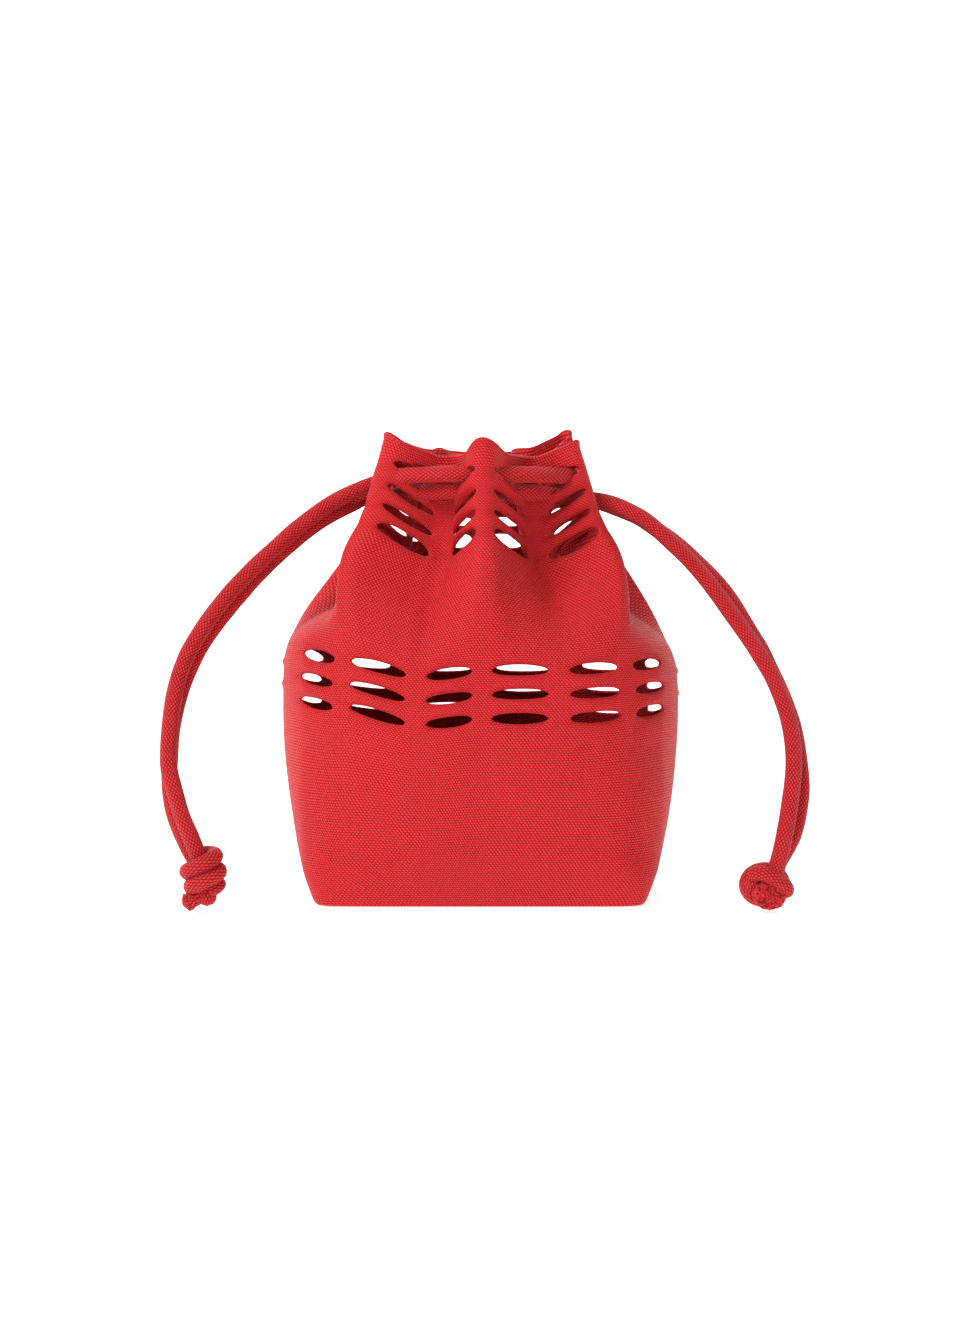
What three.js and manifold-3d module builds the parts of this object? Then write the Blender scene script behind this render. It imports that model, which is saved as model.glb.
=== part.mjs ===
// A kinchaku: a small drawstring pouch of thick knitted cloth on a boxed base, with rows of slits
// round its belly and collar, and two knitted cords threaded through the top row of slits.
// Millimetres, +Z up, the front faces -Y. The origin is under the middle of the base.
import * as THREE from "three";
import { mergeVertices } from "three/addons/utils/BufferGeometryUtils.js";
import Module from "manifold-3d";

// Cloth and cord
const clothThickness = 2;
const cordDiameter = 7.2;
const cordRadius = cordDiameter / 2;
const cordClearance = 0.4;
const cordSides = 10;
const cordSteps = 42;

// Boxed base
const baseWidth = 144.5;
const baseDepth = 104;
const baseSquareness = 14;
const baseEdgeRadius = 1;

// Belly
const bellyWidth = 179;
const bellyDepth = 138;
const bellyHeight = 64;
const bellySquareness = 2.5;
const bellySlack = 1;

// Lower band of slits, counted up from its lowest row
const bandHeight = 82;
const bandPitch = 10;
const bandRows = 3;
const bandOpening = 6.2;

// Neck, between the top row of the band and the lowest row of the collar
const neckRise = 59;

// Collar, measured over its ridges and between its valleys
const collarWidth = 105;
const collarDepth = 88;
const valleyWidth = 65;
const valleyDepth = 54;
const collarPitch = 9;
const valleyDrop = 10;
const collarOpenings = [8.6, 4.6, 3.6];
const lowestSag = 0.66;
const rimBand = 12.3;
const rimDrop = 6.5;
const rimWidth = 91;
const postWidth = 8.5;

// Where the cords run through the top row of slits
const cordRowDrop = 7;
const cordLipRise = 8.2;
const cordLipFall = 6.2;
const ridgeRiseShare = 0.2;
const ridgeFallShare = 0.1;
const lipTurn = [0.05, 0.7];

const colours = { cloth: 0xd5333a, cord: 0xcf2c33 };

// The posts, the uncut bands between the slits: the way each one faces in the belly and in the
// collar, in degrees from the front towards the right, and how far it is lifted in the collar and
// in the band. Even posts stand out as ridges and odd ones are pulled in as valleys. Some have a
// width of their own, a turn towards the front, a rim that is lifted or falls along them, a
// smaller dip of their valley, their own opening of the slits beside them, or a larger share of
// the band.
const posts = [
  { belly: 0, collar: 2, lift: 0, bandLift: 0, narrow: 0.6 },
  { belly: 21.4, collar: 48, lift: 0, bandLift: 0 },
  { belly: 41.5, collar: 70, lift: 2, bandLift: 1 },
  { belly: 60, collar: 98, lift: 1, bandLift: 3, after: 0.65 },
  { belly: 104, collar: 118, lift: 8, bandLift: 2, rimLift: 2.5, width: 10.5 },
  { belly: 124, collar: 138, lift: 1.5, bandLift: -1, rimLift: 2.5, dip: 0.4, open: 0.5 },
  { belly: 151, collar: 155, lift: -1, bandLift: -2, rimLift: 4, open: 1.2 },
  { belly: 179, collar: 180, lift: -1.5, bandLift: -2, rimLift: 1, dip: 0, open: 1.3, width: 5.5 },
  { belly: 205, collar: 205, lift: -1, bandLift: -2, rimLift: 4.5, open: 1.2 },
  { belly: 230, collar: 222, lift: 3, bandLift: 2, dip: 0.4, open: 0.5 },
  { belly: 256, collar: 241, lift: 7, bandLift: 7 },
  { belly: 303, collar: 262, lift: 1, bandLift: 7, before: 0.65 },
  { belly: 321.3, collar: 301, lift: 3.8, bandLift: 4, width: 9.5, turn: 30, lean: 4.5 },
  { belly: 343, collar: 330, lift: 0, bandLift: -2.5 },
];
const columns = posts.length;

// Heights that follow from the driving dimensions
const bandTop = bandHeight + bandPitch * (bandRows - 1);
const collarBottom = bandTop + neckRise;
const cordRow = collarBottom + collarPitch * collarOpenings.length;
const rimHeight = cordRow + rimBand;

// Sections over the ridges, from the floor up: width, depth and squareness at each height
const sections = [
  {
    height: 0,
    width: baseWidth - 2 * baseEdgeRadius,
    depth: baseDepth - 2 * baseEdgeRadius,
    squareness: baseSquareness,
  },
  {
    height: baseEdgeRadius,
    width: baseWidth,
    depth: baseDepth,
    squareness: baseSquareness,
  },
  flankSection(0.29, 0.52, 4.4),
  flankSection(0.58, 0.76, 3.3),
  flankSection(0.79, 0.89, 2.9),
  {
    height: bellyHeight,
    width: bellyWidth - bellySlack,
    depth: bellyDepth - bellySlack,
    squareness: bellySquareness,
  },
  {
    height: bandHeight,
    width: bellyWidth,
    depth: bellyDepth,
    squareness: bellySquareness,
  },
  neckSection(0, 0.035, bellySquareness),
  neckSection(0.34, 0.18, 2.3),
  neckSection(0.6, 0.4, 2.2),
  neckSection(0.82, 0.64, 2.1),
  neckSection(1, 0.865, 2),
  {
    height: cordRow - collarPitch,
    width: collarWidth,
    depth: collarDepth,
    squareness: 2,
  },
  { height: rimHeight, width: rimWidth, depth: collarDepth, squareness: 2 },
];

// A section between the base and the belly: how far up it is, how much of the swell it has, and
// its squareness.
function flankSection(upShare, swellShare, squareness) {
  return {
    height: mix(baseEdgeRadius, bellyHeight, upShare),
    width: mix(baseWidth, bellyWidth, swellShare),
    depth: mix(baseDepth, bellyDepth, swellShare),
    squareness,
  };
}

// A section between the belly and the collar, in the same two shares.
function neckSection(upShare, drawShare, squareness) {
  return {
    height: mix(bandTop, collarBottom, upShare),
    width: mix(bellyWidth, collarWidth, drawShare),
    depth: mix(bellyDepth, collarDepth, drawShare),
    squareness,
  };
}

function mix(a, b, share) {
  return a + (b - a) * share;
}

function smoothShare(value, from, to) {
  const share = THREE.MathUtils.clamp((value - from) / (to - from), 0, 1);
  return share * share * (3 - 2 * share);
}

function sectionAt(height) {
  const last = sections.length - 1;
  let upper = sections.findIndex((section) => section.height >= height);
  if (upper < 0) upper = last;
  if (upper === 0) return sections[0];
  const below = sections[upper - 1];
  const above = sections[upper];
  const share = (height - below.height) / (above.height - below.height);
  return {
    width: mix(below.width, above.width, share),
    depth: mix(below.depth, above.depth, share),
    squareness: mix(below.squareness, above.squareness, share),
  };
}

// How far the folds of the neck have formed at a height: 0 in the belly, 1 in the collar.
function foldShare(height) {
  return smoothShare(height, bandTop, collarBottom);
}

// A point of the plain outline, a superellipse, facing the given way.
function bellyPoint(degrees, section) {
  const angle = THREE.MathUtils.degToRad(degrees);
  const across = Math.sin(angle);
  const ahead = -Math.cos(angle);
  const power = section.squareness;
  const reach = (Math.abs(across) ** power + Math.abs(ahead) ** power) ** (-1 / power);
  return new THREE.Vector2(
    (reach * across * section.width) / 2,
    (reach * ahead * section.depth) / 2,
  );
}

// Where a post stands in the folded outline.
function foldedPost(index, section) {
  const place = ((index % columns) + columns) % columns;
  const angle = THREE.MathUtils.degToRad(posts[place].collar);
  const isValley = place % 2 === 1;
  const acrossShare = isValley ? valleyWidth / collarWidth : 1;
  const aheadShare = isValley ? valleyDepth / collarDepth : 1;
  return new THREE.Vector2(
    (Math.sin(angle) * acrossShare * section.width) / 2,
    (-Math.cos(angle) * aheadShare * section.depth) / 2,
  );
}

// One edge of a post: a post is a flat band along the line between its neighbours, unless it is
// turned towards the front.
function postEdge(index, side, section) {
  const { width = postWidth, turn = 0 } = posts[index % columns];
  const along = foldedPost(index + 1, section)
    .sub(foldedPost(index - 1, section))
    .normalize()
    .rotateAround(new THREE.Vector2(), THREE.MathUtils.degToRad(turn));
  return foldedPost(index, section).addScaledVector(along, (side * width) / 2);
}

// Places across one column, from the post on its left to the post on its right. The first and
// last are the ends of the slit.
const slitPlaces = [0, 0.1, 0.37, 0.63, 0.9, 1];
const lensShape = [0, 0.5, 1, 1, 0.5, 0];
const postShare = 0.125;

function postRightOf(column) {
  return posts[(column + 1) % columns];
}

function outlinePoint(column, slitShare, height) {
  const section = sectionAt(height);
  const folded = postEdge(column, 1, section).lerp(
    postEdge(column + 1, -1, section),
    slitShare,
  );
  const { belly: left, after = postShare } = posts[column];
  const { belly: next, before = postShare } = postRightOf(column);
  const right = next > left ? next : next + 360;
  const across = mix(after, 1 - before, slitShare);
  const plain = bellyPoint(mix(left, right, across), section);
  return plain.lerp(folded, foldShare(height));
}

// How much a height belongs to the lower band of slits, which rides up and down with its posts.
function bandShare(height) {
  const above = smoothShare(height, bellyHeight / 2, bandHeight);
  return above * (1 - smoothShare(height, bandTop, collarBottom));
}

// How far one edge of a post lies above its own level. Side -1 is its left edge and 1 its right.
function postLift(index, side, row) {
  const { lift, rimLift = 0, dip = 1, lean = 0 } = posts[index % columns];
  const fall = index % 2 === 1 ? row.drop * dip : 0;
  return lift - fall + row.rim * (rimLift - (lean * side) / 2);
}

// How far the cloth lies above its own level: valleys hang lower, some posts are lifted, and at
// the rim a narrow ridge falls off before its slit does.
function liftAt(column, slitShare, row) {
  const isValleyFirst = column % 2 === 1;
  const ridge = isValleyFirst ? postRightOf(column) : posts[column];
  let fromRidge = isValleyFirst ? 1 - slitShare : slitShare;
  if (ridge.narrow) {
    fromRidge = mix(fromRidge, smoothShare(fromRidge, 0, ridge.narrow), row.rim);
  }
  const share = isValleyFirst ? 1 - fromRidge : fromRidge;
  const lift = mix(postLift(column, 1, row), postLift(column + 1, -1, row), share);
  const bandLift = mix(posts[column].bandLift, postRightOf(column).bandLift, slitShare);
  return foldShare(row.level) * lift + bandShare(row.level) * bandLift;
}

// The rows of the cloth from the floor up. A slit row has an opening, of which the sag is the share
// that its lower lip takes, and the row that the cords run through opens by its own two amounts.
const rows = [];
function addRow(level, drop = valleyDrop, rim = 0) {
  rows.push({ level, drop, rim, opening: 0, sag: 0.5 });
}
function addSlitRow(level, opening, sag = 0.5) {
  rows.push({ level, drop: valleyDrop, rim: 0, opening, sag });
}

const flankRows = 4;
const neckRows = 6;
const rimRowShare = 0.62;
addRow(0);
addRow(baseEdgeRadius);
for (let i = 1; i <= flankRows; i += 1) {
  addRow(mix(baseEdgeRadius, bandHeight - bandPitch / 2, i / flankRows));
}
for (let i = 0; i < bandRows; i += 1) {
  addSlitRow(bandHeight + i * bandPitch, bandOpening);
}
for (let i = 1; i < neckRows; i += 1) {
  addRow(mix(bandTop, collarBottom, i / neckRows));
}
collarOpenings.forEach((opening, i) => {
  addSlitRow(collarBottom + i * collarPitch, opening, i === 0 ? lowestSag : 0.5);
});
rows.push({ level: cordRow, drop: cordRowDrop, rim: 0, opening: 0, cords: true });
addRow(mix(cordRow, rimHeight, rimRowShare), rimDrop, rimRowShare);
addRow(rimHeight, rimDrop, 1);

// How far the two lips of a row's slit part at a place. In the cord row they follow the cords:
// widest beside the valleys.
function lipsAt(row, column, place) {
  const lens = lensShape[place];
  if (lens === 0) return { rise: 0, fall: 0 };
  if (row.cords) {
    const slitShare = slitPlaces[place];
    const valleyShare = column % 2 === 1 ? 1 - slitShare : slitShare;
    return {
      rise: cordLipRise * mix(ridgeRiseShare, 1, valleyShare),
      fall: cordLipFall * mix(ridgeFallShare, 1, smoothShare(valleyShare, ...lipTurn)),
    };
  }
  const { open: left = 1 } = posts[column];
  const { open: right = 1 } = postRightOf(column);
  const wider = mix(1, (left + right) / 2, foldShare(row.level));
  const opening = lens * wider * row.opening;
  return { rise: opening * (1 - row.sag), fall: opening * row.sag };
}

// The outer face of the cloth: positions, and one vertex number for each side of each slit.
const positions = [];
function addVertex(column, place, row, shift) {
  const slitShare = slitPlaces[place];
  const plan = outlinePoint(column, slitShare, row.level + shift);
  const height = row.level + shift + liftAt(column, slitShare, row);
  positions.push(new THREE.Vector3(plan.x, plan.y, height));
  return positions.length - 1;
}

const places = slitPlaces.length;
const around = columns * places;
const grid = rows.map((row) => {
  const below = [];
  const above = [];
  for (let column = 0; column < columns; column += 1) {
    for (let place = 0; place < places; place += 1) {
      const lips = lipsAt(row, column, place);
      const lower = addVertex(column, place, row, -lips.fall);
      below.push(lower);
      above.push(lips.rise > 0 ? addVertex(column, place, row, lips.rise) : lower);
    }
  }
  return { below, above };
});

const outerFaces = [];
for (let i = 0; i + 1 < rows.length; i += 1) {
  for (let j = 0; j < around; j += 1) {
    const k = (j + 1) % around;
    outerFaces.push([grid[i].above[j], grid[i].above[k], grid[i + 1].below[k]]);
    outerFaces.push([grid[i].above[j], grid[i + 1].below[k], grid[i + 1].below[j]]);
  }
}

// The flat underside closes on one vertex in the middle.
positions.push(new THREE.Vector3(0, 0, 0));
const middle = positions.length - 1;
for (let j = 0; j < around; j += 1) {
  outerFaces.push([grid[0].below[(j + 1) % around], grid[0].below[j], middle]);
}

// The inner face lies one cloth thickness in, along the mean normal of each vertex.
const normals = positions.map(() => new THREE.Vector3());
for (const [a, b, c] of outerFaces) {
  const normal = new THREE.Vector3()
    .subVectors(positions[b], positions[a])
    .cross(new THREE.Vector3().subVectors(positions[c], positions[a]));
  for (const vertex of [a, b, c]) normals[vertex].add(normal);
}
const outerCount = positions.length;
for (let i = 0; i < outerCount; i += 1) {
  const inward = normals[i].clone().normalize().multiplyScalar(-clothThickness);
  const inner = positions[i].clone().add(inward);
  if (positions[i].z === 0) inner.z = clothThickness;
  positions.push(inner);
}

const faces = [];
for (const [a, b, c] of outerFaces) {
  faces.push([a, b, c]);
  faces.push([a + outerCount, c + outerCount, b + outerCount]);
}

// The edge of the cloth, between its two faces: round the rim and round each slit.
function addEdge(from, to) {
  faces.push([from, from + outerCount, to + outerCount]);
  faces.push([from, to + outerCount, to]);
}
const rim = grid[rows.length - 1].below;
for (let j = 0; j < around; j += 1) {
  addEdge(rim[(j + 1) % around], rim[j]);
}
rows.forEach((row, i) => {
  if (!row.opening && !row.cords) return;
  const { below, above } = grid[i];
  for (let j = 0; j < around; j += 1) {
    const isPost = j % places === places - 1;
    if (isPost) continue;
    addEdge(below[j + 1], below[j]);
    addEdge(above[j], above[j + 1]);
  }
});

const clothGeometry = new THREE.BufferGeometry();
clothGeometry.setAttribute(
  "position",
  new THREE.Float32BufferAttribute(
    positions.flatMap((p) => [p.x, p.y, p.z]),
    3,
  ),
);
clothGeometry.setIndex(faces.flat());

// Routes of the two cords, from the knot up the front strand, round the collar and down the back
// strand to the knot again.
const leftRoute = [
  [-116.3, -67, 20.5],
  [-121.5, -67, 33],
  [-125, -65.6, 41],
  [-128.6, -62.9, 51.5],
  [-130.8, -60.9, 59],
  [-131.7, -58.5, 67],
  [-131.4, -55.5, 77],
  [-130.8, -51.6, 88],
  [-128.8, -47, 99.2],
  [-124.8, -42, 110.4],
  [-118.1, -36.3, 122.3],
  [-109.8, -30, 134.2],
  [-99.5, -23.8, 146],
  [-90, -18.8, 155.4],
  [-80.5, -14.6, 164.4],
  [-69.5, -10.5, 173],
  [-60, -8.2, 178.7],
  [-51.9, -7, 182.3],
  [-44, -9, 184.8],
  [-39.5, -16.5, 186],
  [-29, -27.5, 186],
  [-15, -33.5, 186],
  [1, -34.4, 186],
  [17, -31.8, 186],
  [30.5, -24.5, 186.3],
  [40.5, -12.5, 186.8],
  [42, 2.5, 187],
  [36.5, 18.5, 187],
  [22.5, 30.5, 186.5],
  [0, 34.4, 186],
  [-22.5, 30.5, 186],
  [-36.5, 20, 186],
  [-44.5, 14, 184.5],
  [-50.5, 8, 180.5],
  [-57.5, 2, 175.8],
  [-66.6, -3.2, 170.7],
  [-77.3, -6.9, 163.3],
  [-90, -12.4, 152],
  [-101.8, -19.3, 139.1],
  [-111.6, -25.8, 126.6],
  [-120.1, -32.1, 114.1],
  [-126, -37.9, 101.5],
  [-129.8, -43, 89],
  [-131.9, -47.3, 77],
  [-132.4, -50.8, 66],
  [-132.2, -53, 57],
  [-131, -55.4, 47],
  [-128.8, -57.5, 38.5],
  [-124.8, -59.5, 29.5],
  [-119.5, -61.5, 20.5],
];
const rightRoute = [
  [123.8, -66, 16.5],
  [126.8, -67.2, 30],
  [129.2, -65.4, 41.8],
  [131.3, -62.3, 53.6],
  [132.3, -59.8, 63],
  [132.2, -57.2, 72],
  [130.3, -53.1, 83.8],
  [126.3, -48.4, 95.9],
  [120, -43, 108.2],
  [112.6, -37.2, 120.3],
  [104.7, -30.8, 132.6],
  [95.7, -24, 145.3],
  [86, -18.5, 156],
  [76, -14, 165.5],
  [68.1, -11, 170.8],
  [60.5, -7.5, 174.5],
  [53, -4.5, 176.6],
  [45, -4, 177.6],
  [38, -9, 177.8],
  [26.5, -18.7, 178.5],
  [14, -27, 179],
  [0, -29.2, 179],
  [-14, -28.3, 179],
  [-27.5, -19.7, 179],
  [-35.5, -10, 179],
  [-36.2, 4, 179],
  [-32.5, 16.5, 179],
  [-19.5, 25.5, 179],
  [0, 29.4, 179],
  [19.5, 26, 178.5],
  [32.5, 18, 177.9],
  [43, 13, 177.8],
  [52.5, 8, 177.2],
  [62, 2, 173.5],
  [71.3, -3.8, 169],
  [80, -7.3, 163],
  [89.1, -10.5, 156],
  [98.5, -15.3, 146.7],
  [108.7, -21.6, 134.6],
  [115.6, -28, 122.4],
  [122, -33.8, 110.4],
  [127, -39.2, 98.6],
  [131.4, -43.8, 87.2],
  [134.5, -47.8, 75.5],
  [135.9, -51.3, 64.3],
  [136.6, -54.2, 53.2],
  [135.2, -57, 42.2],
  [132.3, -59, 31.3],
  [126.2, -60, 20.5],
  [122.5, -60.5, 13],
];

const wasm = await Module();
wasm.setup();

function solidOf(geometry) {
  const bare = new THREE.BufferGeometry();
  bare.setAttribute("position", geometry.getAttribute("position"));
  if (geometry.index) bare.setIndex(geometry.index);
  const merged = mergeVertices(bare.index ? bare.toNonIndexed() : bare, 1e-3);
  return new wasm.Manifold(
    new wasm.Mesh({
      numProp: 3,
      vertProperties: merged.attributes.position.array,
      triVerts: new Uint32Array(merged.index.array),
    }),
  );
}

function geometryOf(solid) {
  const mesh = solid.getMesh();
  const geometry = new THREE.BufferGeometry();
  geometry.setAttribute("position", new THREE.BufferAttribute(mesh.vertProperties, 3));
  geometry.setIndex(new THREE.BufferAttribute(mesh.triVerts, 1));
  geometry.computeVertexNormals();
  return geometry;
}

// A round cord along its route. A grown cord is fatter and longer all round, for the room it needs.
function cordGeometry(route, growth = 0) {
  const points = route.map((point) => new THREE.Vector3(...point));
  const last = points.length - 1;
  const firstStep = points[0].clone().sub(points[1]).setLength(growth);
  const lastStep = points[last].clone().sub(points[last - 1]).setLength(growth);
  points[0].add(firstStep);
  points[last].add(lastStep);
  const radius = cordRadius + growth;
  const section = new THREE.Shape();
  for (let i = 0; i < cordSides; i += 1) {
    const angle = (i / cordSides) * 2 * Math.PI;
    const place = [radius * Math.cos(angle), radius * Math.sin(angle)];
    if (i === 0) section.moveTo(...place);
    else section.lineTo(...place);
  }
  return new THREE.ExtrudeGeometry(section, {
    steps: cordSteps,
    bevelEnabled: false,
    extrudePath: new THREE.CatmullRomCurve3(points),
  });
}

function cordRoom(route) {
  return solidOf(cordGeometry(route, cordClearance));
}

// A knot is built of turns of cord: rings and short stubs, each placed from the point on the floor
// under the knot, and tilted.
const turnSides = 10;
const turnSteps = 18;
const stubRings = 4;
const upright = 90;
const slant = -22;
const looseEndLean = -37;
const innerShare = 0.5;
const lobeRadius = 4.3;
const cutEndRadius = 5.6;
const leftKnotPlace = new THREE.Vector3(-115.8, -66, 0);
const rightKnotPlace = new THREE.Vector3(120, -60.5, 0);

function placed(geometry, knotPlace, offset, tilt) {
  const object = new THREE.Object3D();
  object.position.set(...offset).add(knotPlace);
  object.rotation.set(...tilt.map((degrees) => THREE.MathUtils.degToRad(degrees)));
  object.updateMatrix();
  return solidOf(geometry.applyMatrix4(object.matrix));
}
function turn(knotPlace, offset, tilt, openShare = innerShare) {
  const ringRadius = cordRadius * (1 + openShare);
  const ring = new THREE.TorusGeometry(ringRadius, cordRadius, turnSides, turnSteps);
  return placed(ring, knotPlace, offset, tilt);
}
function stub(knotPlace, offset, tilt, length, radius = cordRadius) {
  const capsule = new THREE.CapsuleGeometry(radius, length, stubRings, turnSides);
  return placed(capsule, knotPlace, offset, tilt);
}
function joined(pieces) {
  return pieces.reduce((whole, piece) => whole.add(piece));
}

const leftCordRoom = cordRoom(leftRoute);
const rightCordRoom = cordRoom(rightRoute);

// The left knot stands on end: two slanting turns round the strands, a lobe and a loose end.
const leftKnot = joined([
  turn(leftKnotPlace, [0, 0, 20.4], [0, slant, 0]),
  turn(leftKnotPlace, [0.4, 0, 13.6], [0, slant, 0]),
  stub(leftKnotPlace, [0, 0, 14], [upright, 0, 0], cordDiameter, lobeRadius),
  stub(leftKnotPlace, [1.8, -1, 8], [upright, 0, 0], cordRadius, lobeRadius),
  stub(leftKnotPlace, [-4.9, -0.5, 5.3], [upright, 0, looseEndLean], cordRadius),
]);

// The right knot lies on its side, so its turns are seen end on round the cut end of the cord.
const rightKnot = joined([
  turn(rightKnotPlace, [-1, 0, 10.9], [upright, 0, 0], 0.9),
  turn(rightKnotPlace, [1, -3.5, 10.6], [upright + slant, slant, 0]),
  stub(rightKnotPlace, [1.6, -2.4, 7.8], [0, 0, 0], cordRadius, cutEndRadius),
]);

// Room is cut for the cords. That can leave crumbs, which fall away.
function clearOfCords(solid) {
  return solid
    .subtract(leftCordRoom)
    .subtract(rightCordRoom)
    .decompose()
    .sort((a, b) => b.volume() - a.volume())[0];
}

const clothFinish = { roughness: 0.85, metalness: 0 };
function addPiece(group, name, geometry, color) {
  const material = new THREE.MeshStandardMaterial({ color, ...clothFinish });
  const piece = new THREE.Mesh(geometry, material);
  piece.name = name;
  group.add(piece);
}

const pouch = new THREE.Group();
addPiece(pouch, "pouch_body", geometryOf(clearOfCords(solidOf(clothGeometry))), colours.cloth);
addPiece(pouch, "left_drawcord", cordGeometry(leftRoute), colours.cord);
addPiece(pouch, "right_drawcord", cordGeometry(rightRoute), colours.cord);
addPiece(pouch, "left_knot", geometryOf(clearOfCords(leftKnot)), colours.cord);
addPiece(pouch, "right_knot", geometryOf(clearOfCords(rightKnot)), colours.cord);

export default pouch;
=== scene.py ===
import math

import bmesh
import bpy
from mathutils import Matrix, Vector, noise


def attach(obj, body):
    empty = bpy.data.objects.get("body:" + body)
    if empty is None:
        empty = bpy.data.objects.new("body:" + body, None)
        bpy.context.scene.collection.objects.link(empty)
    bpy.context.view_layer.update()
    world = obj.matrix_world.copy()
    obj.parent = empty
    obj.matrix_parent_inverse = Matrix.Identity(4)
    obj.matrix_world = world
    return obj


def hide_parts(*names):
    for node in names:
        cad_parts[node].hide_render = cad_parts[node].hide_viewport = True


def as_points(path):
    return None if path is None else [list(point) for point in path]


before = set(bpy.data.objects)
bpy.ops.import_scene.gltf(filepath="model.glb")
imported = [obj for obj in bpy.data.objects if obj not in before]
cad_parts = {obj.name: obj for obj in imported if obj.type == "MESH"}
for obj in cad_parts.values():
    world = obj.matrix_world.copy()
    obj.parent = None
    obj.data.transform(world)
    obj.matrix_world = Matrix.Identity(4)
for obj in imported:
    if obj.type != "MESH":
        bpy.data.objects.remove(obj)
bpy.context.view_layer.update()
print("frame loaded")

noise.seed_set(11)  # the unevenness of cloth and cords is the same in every run

# The drawstring pouch, in metres, +Z up, its front towards -Y.


def mix(a, b, share):
    return a + (b - a) * share


def smoothShare(value, low, high):
    share = min(1, max(0, (value - low) / (high - low)))
    return share * share * (3 - 2 * share)


# Camera, as the photograph was taken: level with the shoulder, looking a little down
view = {
    "place": (0.0, -0.8, 0.123),
    "tilt": 1.72,  # degrees below the horizon
    "lens": 47.1,
}


def makeCamera():
    camera = bpy.data.objects.new("camera", bpy.data.cameras.new("camera"))
    bpy.context.scene.collection.objects.link(camera)
    camera.location = view["place"]
    camera.rotation_euler = (math.radians(90 - view["tilt"]), 0, 0)
    camera.data.lens = view["lens"]
    camera.data.clip_start = 0.01
    bpy.context.scene.camera = camera


makeCamera()


# Shader maths: an expression on Signals adds its Math nodes
class Signal:
    def __init__(self, tree, socket):
        self.tree = tree
        self.socket = socket

    def node(self, kind, settings, inputs, output=0):
        made = self.tree.nodes.new("ShaderNode" + kind)
        for name, value in settings.items():
            if name == "stops":
                for stop, (position, colour) in zip(made.color_ramp.elements, value):
                    stop.position = position
                    stop.color = (*colour, 1)
            else:
                setattr(made, name, value)
        for key, value in inputs.items():
            socket = made.inputs[key]
            if isinstance(value, Signal):
                self.tree.links.new(value.socket, socket)
            else:
                socket.default_value = value
        return Signal(self.tree, made.outputs[output])

    def maths(self, operation, first, second=0.0):
        return self.node("Math", {"operation": operation}, {0: first, 1: second})

    def __add__(self, other):
        return self.maths("ADD", self, other)

    def __radd__(self, other):
        return self.maths("ADD", other, self)

    def __sub__(self, other):
        return self.maths("SUBTRACT", self, other)

    def __rsub__(self, other):
        return self.maths("SUBTRACT", other, self)

    def __mul__(self, other):
        return self.maths("MULTIPLY", self, other)

    def __rmul__(self, other):
        return self.maths("MULTIPLY", other, self)

    def __truediv__(self, other):
        return self.maths("DIVIDE", self, other)


knitCloth = {
    "stitchWidth": 0.0016,
    "courseHeight": 0.00106,
    "slant": 0.22,
    "depth": 0.0005,
    "top": (0.81, 0.021, 0.026),
    # painted shade: darker copy of the yarn colour for the gaps between stitches
    "paintedGapShade": (0.28, 0.002, 0.005),
    "roughness": 0.64,
    "sheen": 0.02,
}
knitCord = {
    "ribPitch": 0.0015,
    "ribRise": 0.0022,
    "depth": 0.0008,
    "top": (0.88, 0.028, 0.033),
    # painted shade: darker copy of the cord colour for the grooves between braid ribs
    "paintedGapShade": (0.2, 0.001, 0.004),
    "roughness": 0.62,
    "sheen": 0.03,
}
yarn = {
    "patchScale": 28.0,
    "patchAmount": 0.3,
    "fuzzScale": 2600.0,
    "fuzzAmount": 0.35,
    "tuftScale": 1150.0,
    "topPlace": 0.78,
    "bumpStrength": 0.85,
    "specular": 0.22,
    "sheenRoughness": 0.45,
}


def newMaterial(name):
    material = bpy.data.materials.new(name)
    material.use_nodes = True
    tree = material.node_tree
    shader = tree.nodes["Principled BSDF"]
    return material, tree, shader


# Every piece keeps its pattern in a UV map, in metres across and up the cloth
mapName = "clothMap"


def patternPlace(tree):
    start = Signal(tree, None)
    pattern = start.node("UVMap", {"uv_map": mapName}, {})
    across = start.node("SeparateXYZ", {}, {0: pattern})
    up = Signal(tree, across.socket.node.outputs[1])
    return pattern, across, up


def finishKnit(tree, shader, pattern, height, look):
    # Painted shade: the yarn tops take the top colour and the deep gaps between them a darker
    # copy of it, as shade falls there; broad soft patches vary the dyeing
    patches = pattern.node(
        "TexNoise",
        {},
        {"Vector": pattern, "Scale": yarn["patchScale"], "Detail": 3.0, "Roughness": 0.6},
    )
    fuzz = pattern.node(
        "TexNoise",
        {},
        {"Vector": pattern, "Scale": yarn["fuzzScale"], "Detail": 2.0, "Roughness": 0.7},
    )
    # stitch relief painted as shade, times soft patches of real dye variation
    stitchShadeAndDye = height * (0.72 + patches * yarn["patchAmount"])
    shade = stitchShadeAndDye + (fuzz - 0.5) * yarn["fuzzAmount"]
    stops = [(0.0, look["paintedGapShade"]), (yarn["topPlace"], look["top"])]
    colour = pattern.node("ValToRGB", {"stops": stops}, {0: shade})
    bump = pattern.node(
        "Bump",
        {},
        {
            "Strength": yarn["bumpStrength"],
            "Distance": look["depth"],
            "Height": height + fuzz * 0.25,
        },
    )
    tree.links.new(colour.socket, shader.inputs["Base Color"])
    tree.links.new(bump.socket, shader.inputs["Normal"])
    shader.inputs["Roughness"].default_value = look["roughness"]
    shader.inputs["Sheen Weight"].default_value = look["sheen"]
    shader.inputs["Sheen Roughness"].default_value = yarn["sheenRoughness"]
    shader.inputs["Specular IOR Level"].default_value = yarn["specular"]


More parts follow.
